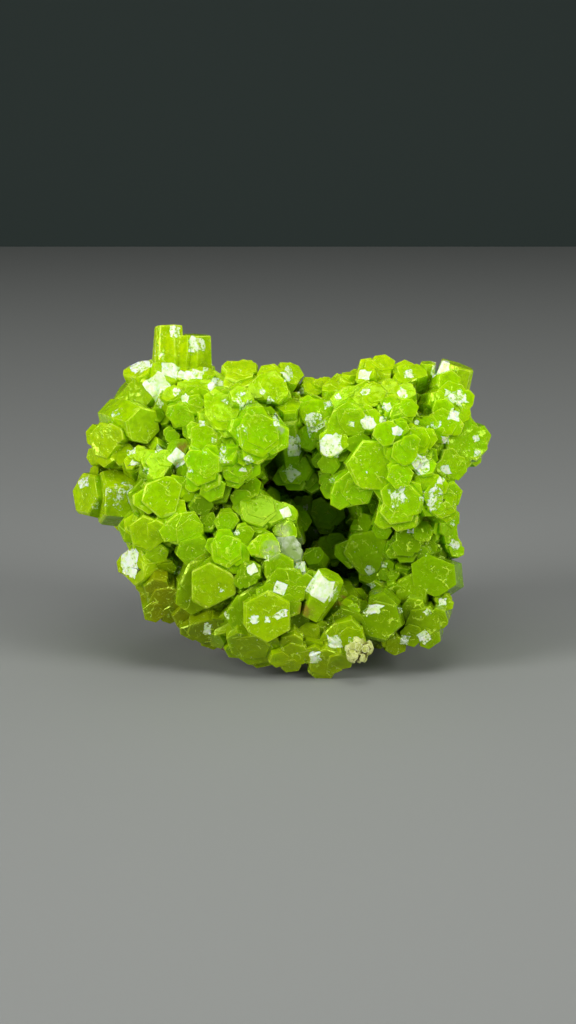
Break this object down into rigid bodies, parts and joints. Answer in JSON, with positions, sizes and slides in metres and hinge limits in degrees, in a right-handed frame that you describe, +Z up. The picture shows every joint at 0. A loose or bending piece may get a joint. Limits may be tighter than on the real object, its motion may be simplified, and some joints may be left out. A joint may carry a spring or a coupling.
{
  "type": "pyromorphite crystal specimen",
  "caption": "Mineral specimen: barrel-shaped hexagonal green crystals grown together over a brown rock matrix, standing on its flat-cut underside.",
  "frame": {"origin": "middle of the footprint's box, at the height of the flat underside", "axes": "+Z up; the specimen's best face looks toward -Y, so +X is to the right as one looks at that face"},
  "size_m": [0.0444, 0.03, 0.0362],
  "materials": {
    "green_crystal": "glossy translucent crystal",
    "ironstone": "matt broken rock",
    "cream_crystal": "satin crystal",
    "cloudy_crystal": "cloudy crystal"
  },
  "bodies": {
    "root": {"pyromorphite_crystals": "green_crystal", "ironstone_matrix": "ironstone", "cream_crystal_group": "cream_crystal", "pale_crystal": "cloudy_crystal"}
  },
  "joints": []
}
